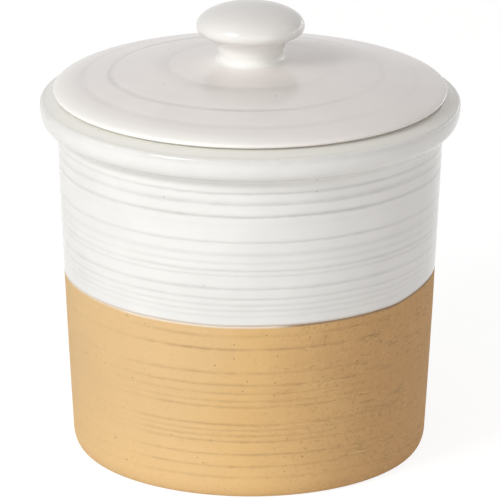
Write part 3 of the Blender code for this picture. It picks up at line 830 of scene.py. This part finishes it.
def makePotGlaze():
    edgeRound = potGlazeSizes["edgeRound"]
    face = formulaRun(outerWall, neckHeight, glazeLine + edgeRound, pot["rowSpacing"])
    bottom = (face[-1][0] - edgeRound, face[-1][1])
    edge = arcRun(bottom, edgeRound, edgeRound, 0, 5)
    back = setBack(coatBack(), pot["glazeThickness"])
    back.reverse()
    outline = joined(potSkin(22, pot["plainSpacing"]), face, edge, back)
    item = turnOutline("potGlaze", outline, pot["columns"])
    material = buildGlaze("whiteGlaze", glaze["white"], 0.0, 0.11, 0.5, glazeGrains, thinEdgeAndRimShade)
    tree = buildThrowingMarks("glazeThrowingMarks", glazeMarks, False, potGlazeSizes["seed"])
    values = {
        "Mark Depth": potGlazeSizes["markDepth"],
        "Wander": potGlazeSizes["wander"],
        "Unevenness": potGlazeSizes["unevenness"],
        "Line Depth": potGlazeSizes["lineDepth"],
        "Line Spacing": potGlazeSizes["lineSpacing"],
        "Start": -neckHeight,
        "End": -glazeLine - 0.4 * mm,
        "Least Radius": mouthRadius + 2 * pot["glazeThickness"],
        "Fading": potGlazeSizes["fading"],
        "Waver Height": glazeLine,
        "Waver": pot["glazeWaver"],
        "Right Rise": pot["glazeRise"],
        "Material": material,
    }
    markPiece(item, tree, values)
    finishPiece(item, material, 50)
    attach(item, "jar")
    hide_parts("jar_glaze")


# Marks on the bare wall, as above
clayMarks = [
    (72.0 * mm, 0.15, 1.0 * mm, 0.6 * mm),
    (69.0 * mm, 0.55, 2.2 * mm, 0.7 * mm),
    (63.4 * mm, 1.0, 1.7 * mm, 0.7 * mm),
    (53.3 * mm, 0.7, 1.6 * mm, 0.7 * mm),
    (48.2 * mm, 0.8, 1.6 * mm, 0.7 * mm),
    (44.8 * mm, 0.55, 1.5 * mm, 0.7 * mm),
    (41.5 * mm, 0.6, 1.3 * mm, 0.7 * mm),
    (39.1 * mm, 0.75, 1.3 * mm, 0.7 * mm),
    (31.5 * mm, 0.9, 1.3 * mm, 0.7 * mm),
    (29.1 * mm, 0.55, 1.3 * mm, 0.7 * mm),
    (26.6 * mm, 0.7, 1.4 * mm, 0.7 * mm),
    (24.4 * mm, 0.9, 1.3 * mm, 0.7 * mm),
    (18.8 * mm, 0.75, 1.3 * mm, 0.7 * mm),
    (13.6 * mm, 0.7, 1.3 * mm, 0.7 * mm),
    (8.9 * mm, 0.5, 1.5 * mm, 0.8 * mm),
]
potClaySizes = {
    "markDepth": 0.22 * mm,
    "wander": 0.28 * mm,
    "unevenness": 0.35,
    "fading": 0.85,
    "rightFading": 0.5,
    "lineDepth": 0.05 * mm,
    "lineSpacing": 0.9 * mm,
    "shoulder": 0.6 * mm,  # height over which the clay draws in under the glaze line
    "shoulderDepth": 0.14 * mm,
    "seed": 80.0,
}
# The largest grains in the clay: angle round from the front, and height in millimetres
clayGrains = [
    (-4.6, 65.6), (-4.6, 59.8), (-10.5, 56.6), (-39.0, 45.8), (-2.1, 46.0), (7.7, 44.1), (28.1, 45.5),
    (32.7, 60.1), (32.7, 49.6), (18.7, 67.8), (43.9, 40.3), (28.0, 27.6), (17.1, 17.0), (-14.5, 14.7),
    (-12.0, 24.6), (-25.2, 24.8), (12.2, 25.4), (11.3, 11.3),
]


def makePotClay():
    hidden = setBack(coatBack(), pot["glazeThickness"] + pot["clearance"])
    shoulderTop = glazeLine + potGlazeSizes["edgeRound"]
    shoulderFoot = outerWall(glazeLine - potClaySizes["shoulder"])
    lineRadius = outerWall(glazeLine)[0] - potClaySizes["shoulderDepth"]
    shoulder = curveRun(
        (lineRadius, glazeLine),
        (lineRadius + potClaySizes["shoulderDepth"] * 0.8, glazeLine - potClaySizes["shoulder"] * 0.2),
        (shoulderFoot[0], glazeLine - potClaySizes["shoulder"] * 0.5),
        shoulderFoot,
        5,
    )
    step = [(hidden[-1][0], shoulderTop), (lineRadius, shoulderTop)]
    wall = formulaRun(outerWall, shoulderFoot[1], pot["footRoundHeight"], pot["rowSpacing"])
    flatRadius = pot["baseRadius"] - pot["footRoundWidth"]
    centre = (flatRadius, pot["footRoundHeight"])
    foot = arcRun(centre, pot["footRoundWidth"], pot["footRoundHeight"], 0, 16)
    recess = flatRadius - pot["footRing"]
    under = [(recess, 0), (recess - pot["footRecess"] * 0.4, pot["footRecess"] * 0.6)]
    under += straightRun((recess - pot["footRecess"], pot["footRecess"]), (0, pot["footRecess"]), 6 * mm)
    outline = joined(hidden[:-1], step, shoulder, wall, foot, under)
    item = turnOutline("potClay", outline, pot["columns"])
    material = buildClay("bareStoneware")
    tree = buildThrowingMarks("clayThrowingMarks", clayMarks, False, potClaySizes["seed"])
    values = {
        "Mark Depth": potClaySizes["markDepth"],
        "Wander": potClaySizes["wander"],
        "Unevenness": potClaySizes["unevenness"],
        "Line Depth": potClaySizes["lineDepth"],
        "Line Spacing": potClaySizes["lineSpacing"],
        "Start": -glazeLine,
        "End": -5 * mm,
        "Least Radius": pot["baseRadius"] - pot["footRoundWidth"],
        "Fading": potClaySizes["fading"],
        "Right Fading": potClaySizes["rightFading"],
        "Waver Height": glazeLine,
        "Waver": pot["glazeWaver"],
        "Right Rise": pot["glazeRise"],
        "Material": material,
    }
    markPiece(item, tree, values)
    finishPiece(item, material, 50)
    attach(item, "jar")
    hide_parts("jar_body")


# The lid: a low dome with a rounded edge, a flange with a groove, and a hollow underside

lid = {
    "edgeRound": 5.5 * mm,
    "bendRadius": 70.0 * mm,  # where the dome starts to bend down
    "edgeHeight": 3.55 * mm,
    "widestHeight": 1.1 * mm,
    "domeRise": 9.05 * mm,
    "thickness": 5.5 * mm,
    "seatRadius": 12.5 * mm,
    "drawnRise": 1.0 * mm,
    "drawnWidth": 18.0 * mm,
    # painted light: the lid's edge is lighter on the lit left
    "edgeWhite": (0.93, 0.90, 0.855),  # the glaze is thicker over the lid's edge
    "flangePlay": 1.1 * mm,
    "flangeThickness": 5.5 * mm,
    "flangeRound": 1.2 * mm,
    "rootFillet": 0.8 * mm,
    "grooveDrop": 2.6 * mm,
    "grooveDepth": 2.4 * mm,
    "sealPlay": 0.3 * mm,
    "rowSpacing": 0.25 * mm,
    "columns": 216,
    "markDepth": 0.2 * mm,
    "wander": 0.5 * mm,
    "unevenness": 0.4,
    "rightFading": 0.7,
    "lineDepth": 0.04 * mm,
    "lineSpacing": 2.4 * mm,
    "seed": 150.0,
}
lidRadius = lidHigh.x
domeRadius = lidRadius - lid["edgeRound"]
domeTop = lidRest + lid["edgeHeight"] + lid["domeRise"]
flangeRadius = mouthRadius - lid["flangePlay"]
# Marks on the dome: radius, share of the full depth, run inside it, ledge outside it and drift
lidMarks = [
    (33.0 * mm, 0.55, 3.0 * mm, 6.0 * mm, 0.0),
    (52.7 * mm, 0.9, 2.8 * mm, 1.9 * mm, 3.0 * mm),
    (66.2 * mm, 0.5, 3.4 * mm, 2.6 * mm, 0.5 * mm),
]


def bowlHeight(radius):  # a flat bowl turned over
    return domeTop - lid["domeRise"] * (radius / domeRadius) ** 2


def dome(radius):  # the bowl, drawn up a little towards the knob
    drawn = 1 - max(0.0, radius - lid["seatRadius"]) / lid["drawnWidth"]
    return (radius, bowlHeight(radius) + lid["drawnRise"] * max(0.0, drawn) ** 2)


lidGrains = [(-128.5, 42.0 * mm, dome(42.0 * mm)[1], 0.4 * mm)]


def lidEdges(tree, spot, z, radius, colour, rough):  # the edge, and the ring the lid was fired on
    x = put(tree, "ShaderNodeSeparateXYZ", {0: spot}).outputs[0]
    # painted light on the left of the lid's edge
    litEdge = ranged(tree, radius, 69 * mm, 78 * mm)
    litEdge = calc(tree, "MULTIPLY", litEdge, ranged(tree, x, -25 * mm, 30 * mm, 1.0, 0.0))
    colour = blendColour(tree, litEdge, colour, lid["edgeWhite"])
    low = ranged(tree, z, lidRest + 0.03 * mm, lidRest + 0.1 * mm, 1.0, 0.0)
    inner = ranged(tree, radius, flangeRadius - 0.2 * mm, flangeRadius + 0.6 * mm)
    outer = ranged(tree, radius, lidRadius - 4.6 * mm, lidRadius - 4 * mm, 1.0, 0.0)
    bare = calc(tree, "MULTIPLY", low, calc(tree, "MULTIPLY", inner, outer))
    bareRough = calc(tree, "MULTIPLY_ADD", bare, clay["roughness"] - glaze["roughness"], rough)
    return blendColour(tree, bare, colour, clay["dark"]), bareRough


def makeLid():
    edgeTop = dome(lid["bendRadius"])
    top = formulaRun(dome, lid["seatRadius"], edgeTop[0], lid["rowSpacing"])
    seat = straightRun((0, top[0][1]), top[0], 4 * mm)
    slope = 2 * lid["domeRise"] * edgeTop[0] / domeRadius ** 2
    reach = (lidRadius - edgeTop[0]) * 0.4
    widest = lidRest + lid["widestHeight"]
    upper = curveRun(
        edgeTop,
        (edgeTop[0] + reach, edgeTop[1] - reach * slope),
        (lidRadius, widest + (edgeTop[1] - widest) * 0.37),
        (lidRadius, widest),
        24,
    )
    lower = curveRun(
        (lidRadius, widest),
        (lidRadius, lidRest + lid["widestHeight"] * 0.45),
        (lidRadius - lid["widestHeight"] * 0.35, lidRest),
        (lidRadius - lid["widestHeight"], lidRest),
        8,
    )
    fillet = lid["rootFillet"]
    under = straightRun(lower[-1], (flangeRadius + fillet, lidRest), 2 * mm)
    root = arcRun((flangeRadius + fillet, lidRest - fillet), fillet, fillet, 180, 5)
    root.reverse()
    grooveTop = lidRest - lid["grooveDrop"]
    grooveBottom = sealLow.z - lid["sealPlay"]
    grooveRadius = flangeRadius - lid["grooveDepth"]
    groove = [
        (flangeRadius, grooveTop),
        (grooveRadius, grooveTop),
        (grooveRadius, grooveBottom),
        (flangeRadius, grooveBottom),
    ]
    inner = flangeRadius - lid["flangeThickness"]
    corner = lid["flangeRound"]
    outerCorner = arcRun((flangeRadius - corner, lidLow.z + corner), corner, corner, 0, 6)
    innerCorner = arcRun((inner + corner, lidLow.z + corner), corner, corner, -90, 6)

    def hollow(radius):
        return (radius, bowlHeight(radius) - lid["thickness"])

    hollowFillet = 4 * mm
    blend = curveRun(
        (inner, hollow(inner)[1] - hollowFillet),
        (inner, hollow(inner)[1] - hollowFillet * 0.4),
        hollow(inner - hollowFillet * 0.4),
        hollow(inner - hollowFillet),
        6,
    )
    inside = formulaRun(hollow, inner - hollowFillet, 0, 4 * mm)
    outline = joined(seat, top, upper, lower, under, root, groove, outerCorner, innerCorner, blend, inside)
    item = turnOutline("domedLid", outline, lid["columns"])
    material = buildGlaze("lidGlaze", glaze["lidWhite"], 1.0, 0.53, 0.35, lidGrains, lidEdges)
    tree = buildThrowingMarks("lidThrowingMarks", lidMarks, True, lid["seed"])
    values = {
        "Mark Depth": lid["markDepth"],
        "Wander": lid["wander"],
        "Unevenness": lid["unevenness"],
        "Line Depth": lid["lineDepth"],
        "Line Spacing": lid["lineSpacing"],
        "Start": 16 * mm,
        "End": domeRadius,
        "Least Radius": 16 * mm,
        "Right Fading": lid["rightFading"],
        "Material": material,
    }
    markPiece(item, tree, values)
    finishPiece(item, material, 50)
    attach(item, "lid")
    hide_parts("lid")


# The knob: a soft mushroom cap on a neck that runs out into the dome

knob = {
    "widestHeight": 14.5 * mm,  # above the knob's foot
    "waistRadius": 12.8 * mm,
    "waistHeight": 3.4 * mm,
    "footRadius": 15.3 * mm,
    "sunk": 0.6 * mm,  # how far its hidden underside reaches into the dome
    # painted light: the lower neck is lighter on its lit left
    "neckWhite": (0.84, 0.817, 0.787),
    "columns": 144,
}


# paints light on the lower left of the neck, where the lamps fall
def neckPaintedLight(tree, spot, z, radius, colour, rough):  # the glaze is thicker round the neck
    x = put(tree, "ShaderNodeSeparateXYZ", {0: spot}).outputs[0]
    low = ranged(tree, z, knobLow.z + 6 * mm, knobLow.z + 11 * mm, 1.0, 0.0)
    low = calc(tree, "MULTIPLY", low, ranged(tree, x, -1 * mm, 9 * mm, 1.0, 0.0))
    return blendColour(tree, low, colour, knob["neckWhite"]), rough


def makeKnob():
    radius = knobHigh.x
    foot = knobLow.z
    widest = foot + knob["widestHeight"]
    rise = knobHigh.z - widest
    cap = curveRun(
        (0, knobHigh.z),
        (radius * 0.57, knobHigh.z),
        (radius, widest + rise * 0.55),
        (radius, widest),
        30,
    )
    waistRadius = knob["waistRadius"]
    waist = foot + knob["waistHeight"]
    drop = widest - waist
    overhang = radius - waistRadius
    under = curveRun(
        (radius, widest),
        (radius, widest - drop * 0.415),
        (waistRadius + overhang * 0.165, waist + drop * 0.81),
        (waistRadius, waist),
        40,
    )
    skirt = dome(knob["footRadius"])
    beyond = dome(knob["footRadius"] + 0.1 * mm)
    slope = (skirt[1] - beyond[1]) / (beyond[0] - skirt[0])
    reach = (knob["footRadius"] - waistRadius) * 0.75
    neck = curveRun(
        (waistRadius, waist),
        (waistRadius, waist - knob["waistHeight"] * 0.6),
        (skirt[0] - reach, skirt[1] + reach * slope),
        skirt,
        20,
    )
    bottom = skirt[1] - knob["sunk"]
    outline = joined(cap, under, neck, [(skirt[0], bottom), (0, bottom)])
    item = turnOutline("lidKnob", outline, knob["columns"])
    material = buildGlaze("knobGlaze", glaze["knobWhite"], 0.0, 0.91, 0.0, (), neckPaintedLight)
    finishPiece(item, material, 50)
    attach(item, "lid")
    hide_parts("lid_knob")


# The sealing ring: a soft band in the groove, with a fin at its top and one at its foot

seal = {
    "band": 1.6 * mm,
    "finRoot": 1.6 * mm,
    "finTip": 0.8 * mm,
    "columns": 144,
    "cloudy": (0.72, 0.73, 0.72),
    "milky": (0.80, 0.81, 0.80),
    "roughness": 0.38,
}


def buildSilicone(name):
    material, tree, shader, spot, z, radius = newMaterial(name)
    tone = useGroup(tree, firedMottle, {"Vector": spot, "Patch Size": 9 * mm, "Contrast": 1.0})["Tone"]
    inputs = {"Vector": spot, "Spacing": 0.5 * mm, "Across": 0.0, "Streak Length": 80 * mm}
    line = useGroup(tree, turningLines, inputs)["Line"]
    tree.links.new(blendColour(tree, tone, seal["cloudy"], seal["milky"]), shader.inputs["Base Color"])
    rough = ranged(tree, line, 0.0, 1.0, seal["roughness"], seal["roughness"] + 0.12, "LINEAR")
    tree.links.new(rough, shader.inputs["Roughness"])
    addBump(tree, shader, line, 0.02 * mm)
    return material


def makeSeal():
    top = sealHigh.z
    bottom = sealLow.z
    tip = sealHigh.x
    inner = flangeRadius - lid["grooveDepth"] + lid["sealPlay"]
    band = inner + seal["band"]
    nose = seal["finTip"] / 2
    upperNose = arcRun((tip - nose, top - nose), nose, nose, 90, 5)
    upperNose += arcRun((tip - nose, top - nose), nose, nose, 0, 5)
    lowerNose = arcRun((tip - nose, bottom + nose), nose, nose, 90, 5)
    lowerNose += arcRun((tip - nose, bottom + nose), nose, nose, 0, 5)
    upperWeb = (band, top - seal["finRoot"])
    lowerWeb = (band, bottom + seal["finRoot"])
    outline = joined([(inner, top)], upperNose, [upperWeb, lowerWeb], lowerNose, [(inner, bottom)])
    item = turnOutline("sealRing", outline, seal["columns"], closed=True)
    finishPiece(item, buildSilicone("clearSilicone"), 50)
    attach(item, "seal")
    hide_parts("lid_seal")


makePotClay()
makePotGlaze()
makeLid()
makeKnob()
makeSeal()


# Studio: a pale floor, soft lamps and the camera at the photograph's angle

studio = {
    "floorSize": 6.0,
    "floorDrop": 0.02 * mm,  # keeps the floor off the foot's underside
    "floorColour": (0.8, 0.8, 0.79),
    "floorSeen": 0.3,  # share of the floor's own shading that the camera sees
    "floorGlow": 0.84,
    "ambient": (0.398, 0.38, 0.377),
    "lampTint": (0.965, 0.996, 1.0),
    "lamps": [  # name, angle, rise, distance, size and power
        ("keyLamp", -44.0, 34.0, 1.2, (0.42, 0.42), 6.7),
        ("sidePanel", -75.0, 10.0, 1.8, (1.6, 1.4), 3.0),
        ("frontPanel", 3.0, 6.0, 1.8, (2.6, 1.4), 14.4),
        ("edgePanel", 120.0, 2.0, 1.8, (2.6, 0.55), 5.7),
    ],
    "lens": 396.0,
    "sensor": 36.0,
    "cameraRise": 18.46,
    "cameraDistance": 2.2154,
    "cameraRoll": 0.2,
    "aimHeight": 80.08 * mm,
    "shift": 0.0006,
}


def directionTo(angle, rise):  # a unit vector; 0 is in front of the jar, -90 on its left
    angle = math.radians(angle)
    rise = math.radians(rise)
    return (math.sin(angle) * math.cos(rise), -math.cos(angle) * math.cos(rise), math.sin(rise))


def aim(item, angle, rise, distance, roll=0.0):  # stands off the jar and looks at it
    x, y, z = directionTo(angle, rise)
    place = Matrix.Translation((x * distance, y * distance, studio["aimHeight"] + z * distance))
    turned = Matrix.Rotation(math.radians(angle), 4, "Z")
    tipped = Matrix.Rotation(math.radians(90 - rise), 4, "X")
    rolled = Matrix.Rotation(math.radians(roll), 4, "Z")
    item.matrix_world = place @ turned @ tipped @ rolled
    bpy.context.scene.collection.objects.link(item)


def addLamp(name, angle, rise, distance, size, power):
    light = bpy.data.lights.new(name, "AREA")
    light.shape = "RECTANGLE"
    light.size, light.size_y = size
    light.color = studio["lampTint"]
    light.energy = power
    aim(bpy.data.objects.new(name, light), angle, rise, distance)


def seenDirectly(tree):  # 1 for rays from the camera, and for reflected or refracted ones
    path = put(tree, "ShaderNodeLightPath").outputs
    seen = calc(tree, "ADD", path["Is Camera Ray"], path["Is Glossy Ray"])
    return calc(tree, "ADD", seen, path["Is Transmission Ray"], clamp=True)


def makeFloor():
    half = studio["floorSize"] / 2
    level = -studio["floorDrop"]
    corners = [(-half, -half, level), (half, -half, level), (half, half, level), (-half, half, level)]
    mesh = bpy.data.meshes.new("floor")
    mesh.from_pydata(corners, [], [(0, 1, 2, 3)])
    floor = bpy.data.objects.new("floor", mesh)
    bpy.context.scene.collection.objects.link(floor)
    material = bpy.data.materials.new("paleFloor")
    material.use_nodes = True
    tree = material.node_tree
    tree.nodes.clear()
    plain = put(tree, "ShaderNodeBsdfDiffuse", {"Color": (*studio["floorColour"], 1.0)})
    seenColour = [channel * studio["floorSeen"] / 0.8 for channel in studio["floorColour"]]
    seen = put(tree, "ShaderNodeBsdfDiffuse", {"Color": (*seenColour, 1.0)})
    glow = put(tree, "ShaderNodeEmission", {"Strength": studio["floorGlow"]})
    both = put(tree, "ShaderNodeAddShader", {0: seen.outputs[0], 1: glow.outputs[0]})
    inputs = {0: seenDirectly(tree), 1: plain.outputs[0], 2: both.outputs[0]}
    mixed = put(tree, "ShaderNodeMixShader", inputs)
    put(tree, "ShaderNodeOutputMaterial", {"Surface": mixed.outputs[0]})
    mesh.materials.append(material)


def makeWorld():
    world = bpy.data.worlds.new("studio")
    world.use_nodes = True
    tree = world.node_tree
    tree.nodes.clear()
    colour = blendColour(tree, seenDirectly(tree), studio["ambient"], (1.0, 1.0, 1.0))
    background = put(tree, "ShaderNodeBackground", {"Color": colour})
    put(tree, "ShaderNodeOutputWorld", {"Surface": background.outputs[0]})
    bpy.context.scene.world = world


def makeCamera():
    data = bpy.data.cameras.new("camera")
    data.sensor_width = studio["sensor"]
    data.lens = studio["lens"]
    data.shift_x = studio["shift"]
    data.clip_start = 0.05
    data.clip_end = 20.0
    camera = bpy.data.objects.new("camera", data)
    aim(camera, 0.0, studio["cameraRise"], studio["cameraDistance"], studio["cameraRoll"])
    bpy.context.scene.camera = camera


makeFloor()
makeWorld()
for lamp in studio["lamps"]:
    addLamp(*lamp)
makeCamera()
bpy.context.scene.view_settings.view_transform = "Standard"
print("studio is ready")
